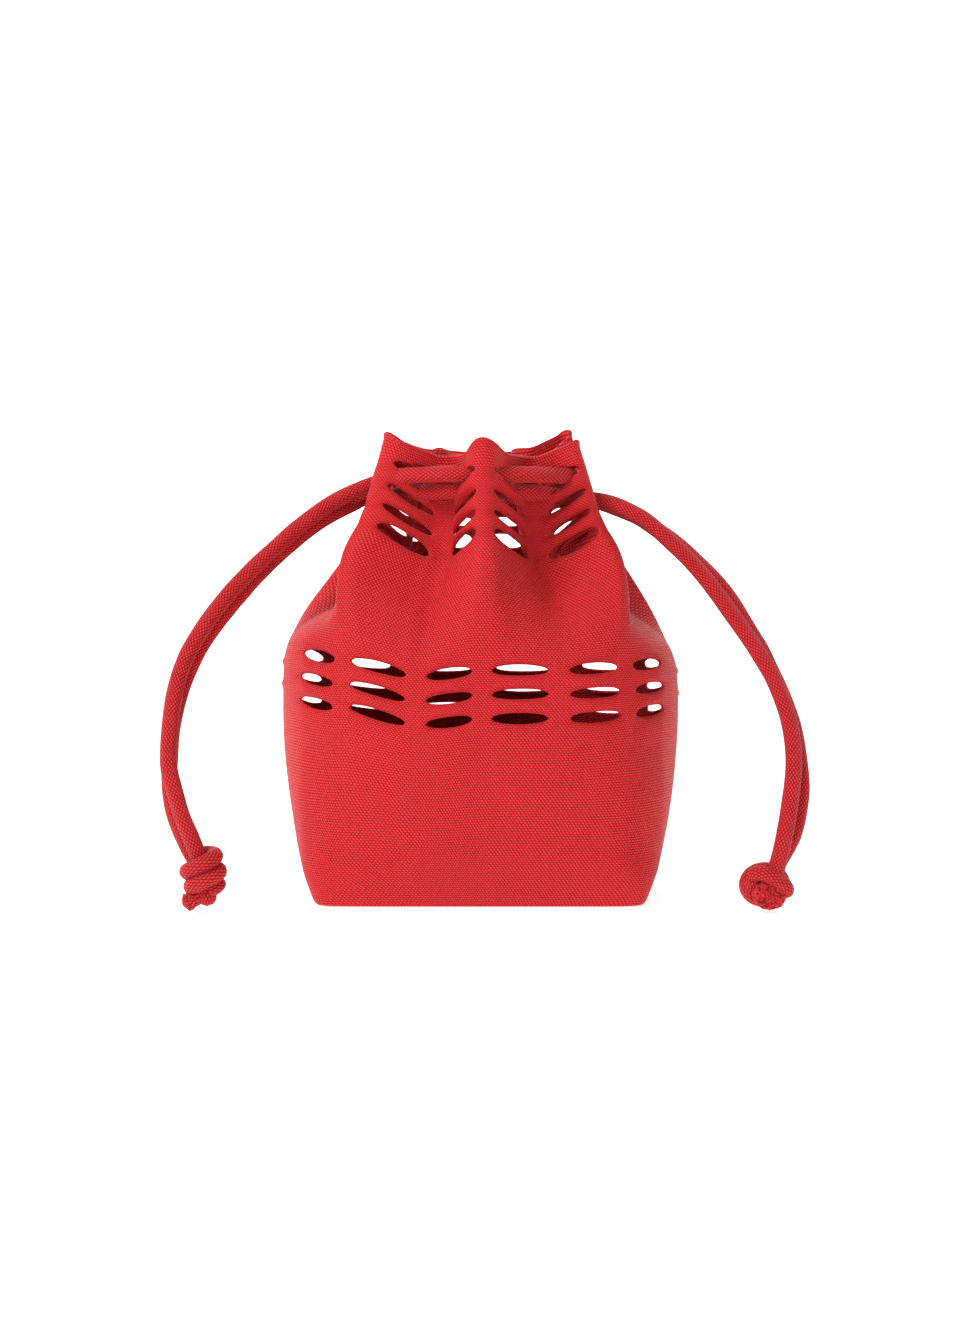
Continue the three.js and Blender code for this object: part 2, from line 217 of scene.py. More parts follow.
def makeClothMaterial():
    look = knitCloth
    material, tree, shader = newMaterial("redKnittedCloth")
    pattern, across, up = patternPlace(tree)
    course = up / look["courseHeight"]
    inCourse = course.maths("FRACT", course) - 0.5
    stagger = course.maths("FLOOR", course) * 0.5
    stitch = across / look["stitchWidth"] + stagger + inCourse * look["slant"]
    inStitch = stitch.maths("FRACT", stitch) - 0.5
    far = (inStitch * inStitch) * 4.4 + (inCourse * inCourse) * 4.4
    height = far.maths("SQRT", far.maths("MAXIMUM", 1 - far, 0.0))
    finishKnit(tree, shader, pattern, height, look)
    return material


def makeCordMaterial():
    look = knitCord
    material, tree, shader = newMaterial("redKnittedCord")
    pattern, across, up = patternPlace(tree)
    risen = up / look["ribRise"]
    turned = across / look["ribPitch"]
    left = risen.maths("ABSOLUTE", risen.maths("SINE", (turned + risen) * math.pi))
    right = risen.maths("ABSOLUTE", risen.maths("SINE", (turned - risen) * math.pi))
    height = risen.maths("MINIMUM", left, right)
    # the rib height also paints shade into the grooves through the colour ramp
    finishKnit(tree, shader, pattern, height, look)
    return material


# The cut end of a cord shows short tufts of yarn instead of ribs, with painted shade in the
# hollows between the tufts
def makeCutMaterial():
    material, tree, shader = newMaterial("redCutYarn")
    pattern, _, _ = patternPlace(tree)
    tufts = pattern.node("TexVoronoi", {}, {"Vector": pattern, "Scale": yarn["tuftScale"]})
    height = pattern.maths("MAXIMUM", 1 - tufts * 1.25, 0.0)
    finishKnit(tree, shader, pattern, height, knitCord)
    return material


clothMaterial = makeClothMaterial()
cutMaterial = makeCutMaterial()
cordMaterial = makeCordMaterial()
print("materials made")


# A cloth surface starts as a flat grid, one unit a step
def flatCloth(acrossCount, upCount):
    mesh = bmesh.new()
    bmesh.ops.create_grid(mesh, x_segments=acrossCount, y_segments=upCount, size=0.5)
    for vertex in mesh.verts:
        vertex.co.x = (vertex.co.x + 0.5) * acrossCount
        vertex.co.y = (vertex.co.y + 0.5) * upCount
    return mesh


def keepPattern(mesh, patternAt):
    layer = mesh.loops.layers.uv.new(mapName)
    for face in mesh.faces:
        for loop in face.loops:
            loop[layer].uv = patternAt(loop.vert.co.x, loop.vert.co.y)


def newPiece(name, mesh, material):
    data = bpy.data.meshes.new(name)
    mesh.to_mesh(data)
    mesh.free()
    for polygon in data.polygons:
        polygon.use_smooth = True
    piece = bpy.data.objects.new(name, data)
    bpy.context.scene.collection.objects.link(piece)
    data.materials.append(material)
    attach(piece, "root")
    return piece


# A smooth line through points, cut into even steps
splineSteps = 12


def smoothLine(points, stepLength):
    points = [Vector(point) for point in points]
    first = points[0] * 2 - points[1]
    last = points[-1] * 2 - points[-2]
    held = [first, *points, last]
    fine = []
    for i in range(len(points) - 1):
        a, b, c, d = held[i : i + 4]
        for k in range(splineSteps):
            t = k / splineSteps
            fine.append(
                0.5
                * (
                    2 * b
                    + (c - a) * t
                    + (2 * a - 5 * b + 4 * c - d) * t * t
                    + (3 * b - a - 3 * c + d) * t * t * t
                )
            )
    fine.append(points[-1])
    total = sum((q - p).length for p, q in zip(fine, fine[1:]))
    count = max(2, round(total / stepLength))
    line = [fine[0]]
    walked = 0
    for p, q in zip(fine, fine[1:]):
        length = (q - p).length
        while len(line) < count and walked + length >= total * len(line) / count:
            line.append(p.lerp(q, (total * len(line) / count - walked) / length))
        walked += length
    line.append(fine[-1])
    return line, total


# A round cord swept along a line. The section is turned along the line without a twist, its
# ends can be rounded, and it can be squeezed unevenly and frayed at its ends.
squeezeScale = 90
frayScale = 900


def sweptCord(points, radius, sides, stepLength, endRound=0.0, squeeze=0.0, fray=0.0):
    line, total = smoothLine(points, stepLength)
    steps = len(line) - 1
    mesh = flatCloth(sides, steps)
    girth = 2 * math.pi * radius
    ribs = round(girth / knitCord["ribPitch"])
    keepPattern(
        mesh,
        lambda x, y: (x / sides * ribs * knitCord["ribPitch"], y / steps * total),
    )
    frames = []
    side = None
    for i in range(steps + 1):
        ahead = (line[min(steps, i + 1)] - line[max(0, i - 1)]).normalized()
        if side is None:
            side = ahead.orthogonal().normalized()
        side = (side - ahead * side.dot(ahead)).normalized()
        frames.append((line[i], side, ahead.cross(side)))
    for vertex in mesh.verts:
        i = round(vertex.co.y)
        turn = vertex.co.x / sides * 2 * math.pi
        centre, right, up = frames[i]
        reach = radius
        near = min(i, steps - i) * total / steps
        if near < endRound:
            edge = 1 - math.sqrt(max(0.0, 1 - (1 - near / endRound) ** 2))
            reach = radius - min(radius, endRound) * edge
            if i in (0, steps):
                reach = 0.0
        wobble = 1 + squeeze * noise.noise(centre * squeezeScale + Vector((0, 0, turn)))
        vertex.co = centre + (right * math.cos(turn) + up * math.sin(turn)) * reach * wobble
        if fray and near < 2 * radius:
            vertex.co += noise.noise_vector(vertex.co * frayScale) * fray
    bmesh.ops.remove_doubles(mesh, verts=mesh.verts, dist=1e-6)
    rims = [edge for edge in mesh.edges if edge.is_boundary]
    if rims:
        bmesh.ops.holes_fill(mesh, edges=rims, sides=sides)
    bmesh.ops.recalc_face_normals(mesh, faces=mesh.faces)
    return mesh, line, total


# Routes of the cords, in metres, from the knot up, round the collar and down to the knot again
cordDiameter = 0.0072
leftRoute = [
    (-0.1163, -0.067, 0.0205),
    (-0.1215, -0.067, 0.033),
    (-0.125, -0.0656, 0.041),
    (-0.1286, -0.0629, 0.0515),
    (-0.1308, -0.0609, 0.059),
    (-0.1317, -0.0585, 0.067),
    (-0.1314, -0.0555, 0.077),
    (-0.1308, -0.0516, 0.088),
    (-0.1288, -0.047, 0.0992),
    (-0.1248, -0.042, 0.1104),
    (-0.1181, -0.0363, 0.1223),
    (-0.1098, -0.03, 0.1342),
    (-0.0995, -0.0238, 0.146),
    (-0.09, -0.0188, 0.1554),
    (-0.0805, -0.0146, 0.1644),
    (-0.0695, -0.0105, 0.173),
    (-0.06, -0.0082, 0.1787),
    (-0.0519, -0.007, 0.1823),
    (-0.044, -0.009, 0.1848),
    (-0.0395, -0.0165, 0.186),
    (-0.029, -0.0275, 0.186),
    (-0.015, -0.0335, 0.186),
    (0.001, -0.0344, 0.186),
    (0.017, -0.0318, 0.186),
    (0.0305, -0.0245, 0.1863),
    (0.0405, -0.0125, 0.1868),
    (0.042, 0.0025, 0.187),
    (0.0365, 0.0185, 0.187),
    (0.0225, 0.0305, 0.1865),
    (0.0, 0.0344, 0.186),
    (-0.0225, 0.0305, 0.186),
    (-0.0365, 0.02, 0.186),
    (-0.0445, 0.014, 0.1845),
    (-0.0505, 0.008, 0.1805),
    (-0.0575, 0.002, 0.1758),
    (-0.0666, -0.0032, 0.1707),
    (-0.0773, -0.0069, 0.1633),
    (-0.09, -0.0124, 0.152),
    (-0.1018, -0.0193, 0.1391),
    (-0.1116, -0.0258, 0.1266),
    (-0.1201, -0.0321, 0.1141),
    (-0.126, -0.0379, 0.1015),
    (-0.1298, -0.043, 0.089),
    (-0.1319, -0.0473, 0.077),
    (-0.1324, -0.0508, 0.066),
    (-0.1322, -0.053, 0.057),
    (-0.131, -0.0554, 0.047),
    (-0.1288, -0.0575, 0.0385),
    (-0.1248, -0.0595, 0.0295),
    (-0.1195, -0.0615, 0.0205),
]
rightRoute = [
    (0.1238, -0.066, 0.0165),
    (0.1268, -0.0672, 0.03),
    (0.1292, -0.0654, 0.0418),
    (0.1313, -0.0623, 0.0536),
    (0.1323, -0.0598, 0.063),
    (0.1322, -0.0572, 0.072),
    (0.1303, -0.0531, 0.0838),
    (0.1263, -0.0484, 0.0959),
    (0.12, -0.043, 0.1082),
    (0.1126, -0.0372, 0.1203),
    (0.1047, -0.0308, 0.1326),
    (0.0957, -0.024, 0.1453),
    (0.086, -0.0185, 0.156),
    (0.076, -0.014, 0.1655),
    (0.0681, -0.011, 0.1708),
    (0.0605, -0.0075, 0.1745),
    (0.053, -0.0045, 0.1766),
    (0.045, -0.004, 0.1776),
    (0.038, -0.009, 0.1778),
    (0.0265, -0.0187, 0.1785),
    (0.014, -0.027, 0.179),
    (0.0, -0.0292, 0.179),
    (-0.014, -0.0283, 0.179),
    (-0.0275, -0.0197, 0.179),
    (-0.0355, -0.01, 0.179),
    (-0.0362, 0.004, 0.179),
    (-0.0325, 0.0165, 0.179),
    (-0.0195, 0.0255, 0.179),
    (0.0, 0.0294, 0.179),
    (0.0195, 0.026, 0.1785),
    (0.0325, 0.018, 0.1779),
    (0.043, 0.013, 0.1778),
    (0.0525, 0.008, 0.1772),
    (0.062, 0.002, 0.1735),
    (0.0713, -0.0038, 0.169),
    (0.08, -0.0073, 0.163),
    (0.0891, -0.0105, 0.156),
    (0.0985, -0.0153, 0.1467),
    (0.1087, -0.0216, 0.1346),
    (0.1156, -0.028, 0.1224),
    (0.122, -0.0338, 0.1104),
    (0.127, -0.0392, 0.0986),
    (0.1314, -0.0438, 0.0872),
    (0.1345, -0.0478, 0.0755),
    (0.1359, -0.0513, 0.0643),
    (0.1366, -0.0542, 0.0532),
    (0.1352, -0.057, 0.0422),
    (0.1323, -0.059, 0.0313),
    (0.1262, -0.06, 0.0205),
    (0.1225, -0.0605, 0.013),
]
cordShape = {"sides": 24, "step": 0.0018, "squeeze": 0.05}


def makeCord(name, route):
    mesh, line, total = sweptCord(
        route,
        cordDiameter / 2,
        cordShape["sides"],
        cordShape["step"],
        squeeze=cordShape["squeeze"],
    )
    cord = newPiece(name + "Braid", mesh, cordMaterial)
    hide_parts(name)
    return cord, line, total


leftCord, leftLine, leftLength = makeCord("left_drawcord", leftRoute)
rightCord, rightLine, rightLength = makeCord("right_drawcord", rightRoute)
print("cords made", round(leftLength, 4), round(rightLength, 4))

# The pouch: sizes over the outer face of the cloth
pouch = {
    "baseWidth": 0.1445,
    "baseDepth": 0.104,
    "baseSquareness": 14,
    "baseEdge": 0.001,
    "bellyWidth": 0.179,
    "bellyDepth": 0.138,
    "bellyHeight": 0.064,
    "bellySquareness": 2.5,
    "bandHeight": 0.082,
    "bandPitch": 0.01,
    "bandRows": 3,
    "bandOpening": 0.003,
    "neckRise": 0.059,
    "collarWidth": 0.105,
    "collarDepth": 0.088,
    "valleyWidth": 0.065,
    "valleyDepth": 0.054,
    "collarPitch": 0.009,
    "valleyDrop": 0.01,
    "collarOpenings": (0.0056, 0.0022, 0.0014),
    "collarSag": 0.4,
    "rimBand": 0.0123,
    "rimDrop": 0.0065,
    "rimWidth": 0.091,
    "cordRowDrop": 0.007,
    "cordLipRise": 0.0082,
    "cordLipFall": 0.0062,
    "thickness": 0.002,
    "columnPitch": 0.0352,
}
# A post faces one way in the belly and another in the collar, in degrees from the front towards
# the right, and is lifted in the collar and in the band. Even posts are ridges and odd ones are
# valleys. Its other settings: its width, its turn towards the front, the share of the column that
# it takes in the band on each side, how far its valley dips, how narrow its ridge is at the rim,
# and how far the rim falls along it.
def makePost(belly, collar, lift=0.0, bandLift=0.0, **settings):
    post = {
        "belly": belly,
        "collar": collar,
        "lift": lift,
        "bandLift": bandLift,
        "width": 0.0085,
        "turn": 0,
        "before": 0.125,
        "after": 0.125,
        "dip": 1.0,
        "open": 1.0,
        "narrow": 0.0,
        "lean": 0.0,
        "rimLift": 0.0,
    }
    post.update(settings)
    return post


posts = [
    makePost(0, 2, narrow=0.6),
    makePost(21.4, 48),
    makePost(41.5, 70, 0.002, 0.001),
    makePost(60, 98, 0.001, 0.003, after=0.65),
    makePost(104, 118, 0.008, 0.002, rimLift=0.0025, width=0.0105),
    makePost(124, 138, 0.0015, -0.001, rimLift=0.0025, dip=0.4, open=0.5),
    makePost(151, 155, -0.001, -0.002, rimLift=0.004, open=1.2),
    makePost(179, 180, -0.0015, -0.002, rimLift=0.001, dip=0, open=1.3, width=0.0055),
    makePost(205, 205, -0.001, -0.002, rimLift=0.0045, open=1.2),
    makePost(230, 222, 0.003, 0.002, dip=0.4, open=0.5),
    makePost(256, 241, 0.007, 0.007),
    makePost(303, 262, 0.001, 0.007, before=0.65),
    makePost(321.3, 301, 0.0038, 0.004, width=0.0095, turn=30, lean=0.0045),
    makePost(343, 330, 0.0, -0.0025),
]
columnCount = len(posts)
bandTop = pouch["bandHeight"] + pouch["bandPitch"] * (pouch["bandRows"] - 1)
collarBottom = bandTop + pouch["neckRise"]
cordRow = collarBottom + pouch["collarPitch"] * len(pouch["collarOpenings"])
rimHeight = cordRow + pouch["rimBand"]


# Sections over the ridges: height, width, depth and squareness
def makeSections():
    p = pouch
    inset = 2 * p["baseEdge"]
    sections = [
        (0.0, p["baseWidth"] - inset, p["baseDepth"] - inset, p["baseSquareness"]),
        (p["baseEdge"], p["baseWidth"], p["baseDepth"], p["baseSquareness"]),
    ]
    for up, swell, squareness in ((0.29, 0.52, 4.4), (0.58, 0.76, 3.3), (0.79, 0.89, 2.9)):
        sections.append(
            (
                mix(p["baseEdge"], p["bellyHeight"], up),
                mix(p["baseWidth"], p["bellyWidth"], swell),
                mix(p["baseDepth"], p["bellyDepth"], swell),
                squareness,
            )
        )
    square = p["bellySquareness"]
    sections.append((p["bellyHeight"], p["bellyWidth"] - 0.001, p["bellyDepth"] - 0.001, square))
    sections.append((p["bandHeight"], p["bellyWidth"], p["bellyDepth"], square))
    neck = (
        (0, 0.035, square),
        (0.34, 0.18, 2.3),
        (0.6, 0.4, 2.2),
        (0.82, 0.64, 2.1),
        (1, 0.865, 2),
    )
    for up, draw, squareness in neck:
        sections.append(
            (
                mix(bandTop, collarBottom, up),
                mix(p["bellyWidth"], p["collarWidth"], draw),
                mix(p["bellyDepth"], p["collarDepth"], draw),
                squareness,
            )
        )
    sections.append((cordRow - p["collarPitch"], p["collarWidth"], p["collarDepth"], 2))
    sections.append((rimHeight, p["rimWidth"], p["collarDepth"], 2))
    return sections


sections = makeSections()


# The widths, depths and squareness follow one smooth line through the sections
def sectionAt(height):
    last = len(sections) - 1
    k = next((i for i, section in enumerate(sections) if section[0] >= height), last)
    k = max(1, k)
    low, high = sections[k - 1], sections[k]
    span = high[0] - low[0]
    t = min(1.2, max(0, (height - low[0]) / span))
    values = []
    for item in (1, 2, 3):
        before = sections[max(0, k - 2)]
        after = sections[min(last, k + 1)]
        slopeIn = (high[item] - before[item]) / max(1e-6, high[0] - before[0]) * span
        slopeOut = (after[item] - low[item]) / max(1e-6, after[0] - low[0]) * span
        if k < 3:
            slopeIn = slopeOut = high[item] - low[item]
        t2, t3 = t * t, t * t * t
        values.append(
            (2 * t3 - 3 * t2 + 1) * low[item]
            + (t3 - 2 * t2 + t) * slopeIn
            + (3 * t2 - 2 * t3) * high[item]
            + (t3 - t2) * slopeOut
        )
    return values


def foldShare(height):
    return smoothShare(height, bandTop, collarBottom)


# How much a height belongs to the lower band of slits, which rides up and down with its posts
def bandShare(height):
    above = smoothShare(height, pouch["bellyHeight"] / 2, pouch["bandHeight"])
    return above * (1 - smoothShare(height, bandTop, collarBottom))


def plainPoint(degrees, section):
    angle = math.radians(degrees)
    across, ahead = math.sin(angle), -math.cos(angle)
    width, depth, power = section
    reach = (abs(across) ** power + abs(ahead) ** power) ** (-1 / power)
    return Vector((reach * across * width / 2, reach * ahead * depth / 2))


def foldedPost(index, section):
    place = index % columnCount
    angle = math.radians(posts[place]["collar"])
    across = ahead = 1
    if place % 2:
        across = pouch["valleyWidth"] / pouch["collarWidth"]
        ahead = pouch["valleyDepth"] / pouch["collarDepth"]
    return Vector(
        (math.sin(angle) * across * section[0] / 2, -math.cos(angle) * ahead * section[1] / 2)
    )


def postEdge(index, side, section):
    post = posts[index % columnCount]
    along = (foldedPost(index + 1, section) - foldedPost(index - 1, section)).normalized()
    along.rotate(Matrix.Rotation(math.radians(post["turn"]), 2))
    return foldedPost(index, section) + along * side * post["width"] / 2


# Each column has its slit and then the post on its right
slitSteps = 9
postSteps = 3
columnSteps = slitSteps + postSteps
stripCrown = 0.0019
postCrown = 0.0016
rimRound = 0.0013
rimRoll = 0.0012
lensPower = 2.5
around = columnCount * columnSteps


def slitPlace(step):
    share = step / slitSteps
    return mix(share, 0.5 - 0.5 * math.cos(math.pi * share), 0.45)


def lens(share):
    return max(0.0, 1 - abs(2 * share - 1) ** lensPower)


# Rows of the cloth from the middle of the underside up to the rim
rows = []


def addRow(level, crown=0.0, opening=0.0, sag=0.5, **settings):
    row = {
        "level": level,
        "crown": crown,
        "inset": None,
        "drop": pouch["valleyDrop"],
        "rise": opening * (1 - sag),
        "fall": opening * sag,
        "slit": opening > 0,
        "cords": False,
        "roll": 0.0,
        "rim": 0.0,
    }
    row.update(settings)
    rows.append(row)


def makeRows():
    p = pouch
    for inset in (0.0, 0.35, 0.7, 0.93):
        addRow(0.0, inset=inset)
    addRow(0.0)
    addRow(p["baseEdge"] * 0.3)
    addRow(p["baseEdge"])
    addRow(p["baseEdge"] * 2.6)
    flank = p["bandHeight"] - 0.0045
    for i in range(1, 13):
        addRow(mix(p["baseEdge"], flank, i / 12), crown=0.5 if i == 12 else 0)
    for row in range(p["bandRows"]):
        level = p["bandHeight"] + row * p["bandPitch"]
        addRow(level, opening=p["bandOpening"], crown=-0.9)
        if row + 1 < p["bandRows"]:
            for share, crown in ((0.27, 0.4), (0.5, 1.1), (0.73, 0.4)):
                addRow(level + p["bandPitch"] * share, crown=crown)
    addRow(bandTop + 0.0045, crown=0.5)
    for i in range(2, 15):
        addRow(mix(bandTop, collarBottom, i / 15))
    addRow(collarBottom - 0.003, crown=0.6)
    for row, opening in enumerate(p["collarOpenings"]):
        level = collarBottom + row * p["collarPitch"]
        addRow(level, opening=opening, sag=0.5 if row else p["collarSag"], crown=-1.3)
        for share, crown in ((0.27, 0.6), (0.5, 1.7), (0.73, 0.6)):
            addRow(level + p["collarPitch"] * share, crown=crown)
    addRow(cordRow, slit=True, cords=True, drop=p["cordRowDrop"], crown=-0.4)
    for share in (0.2, 0.42, 0.64, 0.86):
        drop = mix(p["cordRowDrop"], p["rimDrop"], share)
        addRow(mix(cordRow, rimHeight, share), drop=drop, rim=share)
    addRow(rimHeight, drop=p["rimDrop"], roll=0.4, rim=1.0)
    addRow(rimHeight + 0.0006, drop=p["rimDrop"], roll=1, rim=1.0)


makeRows()


def lipShift(row, column, share, side):
    if side == 0 or not 0 < share < 1:
        return 0.0
    if row["cords"]:
        valleyShare = 1 - share if column % 2 else share
        if side > 0:
            return pouch["cordLipRise"] * mix(0.2, 1, valleyShare) * min(1, lens(share) * 1.3)
        valleyShare = smoothShare(valleyShare, 0.05, 0.7)
        return -pouch["cordLipFall"] * mix(0.1, 1, valleyShare) * min(1, lens(share) * 1.3)
    post, following = posts[column], posts[(column + 1) % columnCount]
    wider = mix(1, (post["open"] + following["open"]) / 2, foldShare(row["level"]))
    return (row["rise"] if side > 0 else -row["fall"]) * wider * lens(share)


# The place across the cloth of a step of the grid, counted in columns
def columnPlace(column, step):
    post, following = posts[column % columnCount], posts[(column + 1) % columnCount]
    if step <= slitSteps:
        return column + mix(post["after"], 1 - following["before"], slitPlace(step))
    share = (step - slitSteps) / postSteps
    return column + mix(1 - following["before"], 1 + following["after"], share)


def bellyWay(place):
    column = math.floor(place)
    left = posts[column % columnCount]["belly"] + 360 * (column // columnCount)
    right = posts[(column + 1) % columnCount]["belly"] + 360 * ((column + 1) // columnCount)
    return mix(left, right, place - column)


# How far a post lies above its own level, at a place between its left edge and its right edge
def postLift(index, row, share):
    post = posts[index % columnCount]
    lift = post["lift"] + row["rim"] * (post["rimLift"] + post["lean"] * (0.5 - share))
    if index % 2:
        return lift - row["drop"] * post["dip"]
    return lift - row["rim"] * rimRound * (2 * share - 1) ** 2


def liftAt(column, row, share):
    ridge, ridgeShare = (column + 1, 1 - share) if column % 2 else (column, share)
    narrow = posts[ridge % columnCount]["narrow"]
    if narrow:
        ridgeShare = mix(ridgeShare, smoothShare(ridgeShare, 0, narrow), row["rim"])
        share = 1 - ridgeShare if column % 2 else ridgeShare
    return mix(postLift(column, row, 1), postLift(column + 1, row, 0), share)


# The hem is drawn in a little just above the base, and the cloth is slightly uneven
hem = {"height": 0.009, "depth": 0.0007}
cloth = {"noiseSize": 26.0, "noiseAmount": 0.001, "smoothing": 1}


def clothPlace(gridX, gridY, side):
    row = rows[gridY]
    column, step = divmod(gridX, columnSteps)
    column %= columnCount
    inSlit = step <= slitSteps
    share = slitPlace(step) if inSlit else (step - slitSteps) / postSteps
    shift = lipShift(row, column, share, side) if inSlit else 0.0
    height = row["level"] + shift
    section = sectionAt(height)
    place = columnPlace(column, step)
    if inSlit:
        start = postEdge(column, 1, section)
        end = postEdge(column + 1, -1, section)
    else:
        start = postEdge(column + 1, -1, section)
        end = postEdge(column + 1, 1, section)
    folded = start.lerp(end, share)
    along = (end - start).normalized()
    out = Vector((along.y, -along.x))
    ridge = -1 if (column + 1) % 2 else 1
    if not inSlit:
        folded += out * ridge * postCrown * math.sin(math.pi * share)
    fold = foldShare(height)
    plan = plainPoint(bellyWay(place), section).lerp(folded, fold)
    if inSlit:
        crown = 0.9 if row["cords"] and side < 0 else row["crown"]
        plan += out.lerp(plan.normalized(), 1 - fold) * stripCrown * crown * lens(share)
    plan += plan.normalized() * (rimRoll * row["roll"] + creaseShift(place, height))
    if row["inset"] is not None:
        plan *= row["inset"]
    plan -= plan.normalized() * hem["depth"] * math.exp(-((height / hem["height"] - 1) ** 2) * 6)
    post, following = posts[column], posts[(column + 1) % columnCount]
    if inSlit:
        lift = liftAt(column, row, share)
        bandLift = mix(post["bandLift"], following["bandLift"], share)
    else:
        lift = postLift(column + 1, row, share)
        bandLift = following["bandLift"]
    rise = foldShare(row["level"]) * lift + bandShare(row["level"]) * bandLift
    return Vector((plan.x, plan.y, height + rise))


# Creases: for each, its column at the collar and at the band, how far it stands out, its
# half width in columns, and how far down from the collar it fades out
creases = (
    (11.86, 11.45, 0.0026, 0.14, 0.75),
    (2.1, 2.75, 0.0028, 0.14, 0.75),
    (12.9, 12.88, 0.0034, 0.06, 0.95),
    (13.1, 13.02, -0.0028, 0.09, 0.9),
    (0.1, 0.3, 0.0022, 0.12, 0.85),
    (1.0, 1.15, -0.0003, 0.28, 0.9),
    (1.45, 1.55, 0.0018, 0.14, 0.75),
    (12.35, 12.45, -0.0014, 0.14, 0.85),
)


def creaseShift(column, height):
    down = (collarBottom - height) / pouch["neckRise"]
    if not -0.25 < down < 1.2:
        return 0.0
    shift = 0.0
    for top, bottom, amount, width, fade in creases:
        centre = mix(top, bottom, min(1, max(0, down)))
        away = (column - centre + columnCount / 2) % columnCount - columnCount / 2
        share = smoothShare(down, -0.25, 0.1) * (1 - smoothShare(down, fade * 0.6, fade * 1.15))
        shift += amount * share * math.exp(-abs(away) / width)
    return shift


def makePouch():
    upCount = len(rows) - 1
    mesh = flatCloth(around, upCount)
    # Arc lengths up the middle of a column give the pattern its true scale
    climb = [0.0]
    for i in range(upCount):
        a = clothPlace(slitSteps // 2, i, 0)
        b = clothPlace(slitSteps // 2, i + 1, 0)
        climb.append(climb[-1] + (b - a).length)
    stitches = round(pouch["columnPitch"] * columnCount / knitCloth["stitchWidth"])
    girth = stitches * knitCloth["stitchWidth"]

    def patternAt(x, y):
        column, step = divmod(round(x), columnSteps)
        return (columnPlace(column, step) / columnCount * girth, climb[round(y)])

    keepPattern(mesh, patternAt)
    cuts = []
    for edge in mesh.edges:
        a, b = edge.verts
        if round(a.co.y) != round(b.co.y):
            continue
        row = rows[round(a.co.y)]
        if not row["slit"]:
            continue
        if (min(a.co.x, b.co.x) + 0.1) % columnSteps < slitSteps:
            cuts.append(edge)
    bmesh.ops.split_edges(mesh, edges=cuts)
    places = {}
    for vertex in mesh.verts:
        middle = sum((face.calc_center_median().y for face in vertex.link_faces), 0.0)
        middle /= len(vertex.link_faces)
        step = round(vertex.co.x) % columnSteps
        row = rows[round(vertex.co.y)]
        side = 0
        if row["slit"] and 0 < step < slitSteps:
            side = 1 if middle > vertex.co.y else -1
        places[vertex] = clothPlace(round(vertex.co.x), round(vertex.co.y), side)
    for vertex, place in places.items():
        vertex.co = place
    bmesh.ops.remove_doubles(mesh, verts=mesh.verts, dist=1e-5)
    soft = [vertex for vertex in mesh.verts if vertex.co.z > pouch["baseEdge"]]
    for _ in range(cloth["smoothing"]):
        bmesh.ops.smooth_vert(
            mesh, verts=soft, factor=0.5, use_axis_x=True, use_axis_y=True, use_axis_z=True
        )
    for vertex in soft:
        shift = noise.noise_vector(vertex.co * cloth["noiseSize"])
        amount = cloth["noiseAmount"] * smoothShare(vertex.co.z, 0, 0.03)
        vertex.co += shift * amount
    bmesh.ops.recalc_face_normals(mesh, faces=mesh.faces)
    underside = min(mesh.faces, key=lambda face: face.calc_center_median().z)
    if underside.normal.z > 0:
        bmesh.ops.reverse_faces(mesh, faces=mesh.faces)
    piece = newPiece("pouchCloth", mesh, clothMaterial)
    wall = piece.modifiers.new("wall", "SOLIDIFY")
    wall.thickness = pouch["thickness"]
    wall.offset = -1
    wall.use_even_offset = False
    soften = piece.modifiers.new("soften", "SUBSURF")
    soften.levels = soften.render_levels = 1
    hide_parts("pouch_body")
    return piece


pouchCloth = makePouch()
print("pouch made")

# The knots: turns of the same cord, drawn tight, and its loose ends
knotRadius = cordDiameter / 2
knotShape = {"sides": 20, "step": 0.0011, "squeeze": 0.06, "turnSteps": 16}


def coil(centre, axis, radius, turns, rise, startAngle, endRadius=None, flatten=1.0):
    axis = Vector(axis).normalized()
    right = Vector((1, 0, 0))
    right = (right - axis * right.dot(axis)).normalized()
    up = axis.cross(right)
    centre = Vector(centre)
    points = []
    count = round(turns * knotShape["turnSteps"])
    for i in range(count + 1):
        share = i / count
        angle = math.radians(startAngle) + share * turns * 2 * math.pi
        reach = mix(radius, radius if endRadius is None else endRadius, share)
        points.append(
            centre
            + (right * math.cos(angle) + up * math.sin(angle) * flatten) * reach
            + axis * rise * (share - 0.5)
        )
    return points


def makeKnot(name, strands, replaced):
    whole = bmesh.new()
    whole.loops.layers.uv.new(mapName)
    for strand in strands:
        radius = strand.get("radius", knotRadius)
        mesh, _, _ = sweptCord(
            strand["points"],
            radius,
            knotShape["sides"],
            knotShape["step"],
            endRound=strand.get("endRound", radius),
            squeeze=knotShape["squeeze"],
            fray=strand.get("fray", 0.0),
        )
        data = bpy.data.meshes.new("strand")
        mesh.to_mesh(data)
        mesh.free()
        whole.from_mesh(data)
        bpy.data.meshes.remove(data)
    knot = newPiece(name, whole, cordMaterial)
    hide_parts(replaced)
    return knot


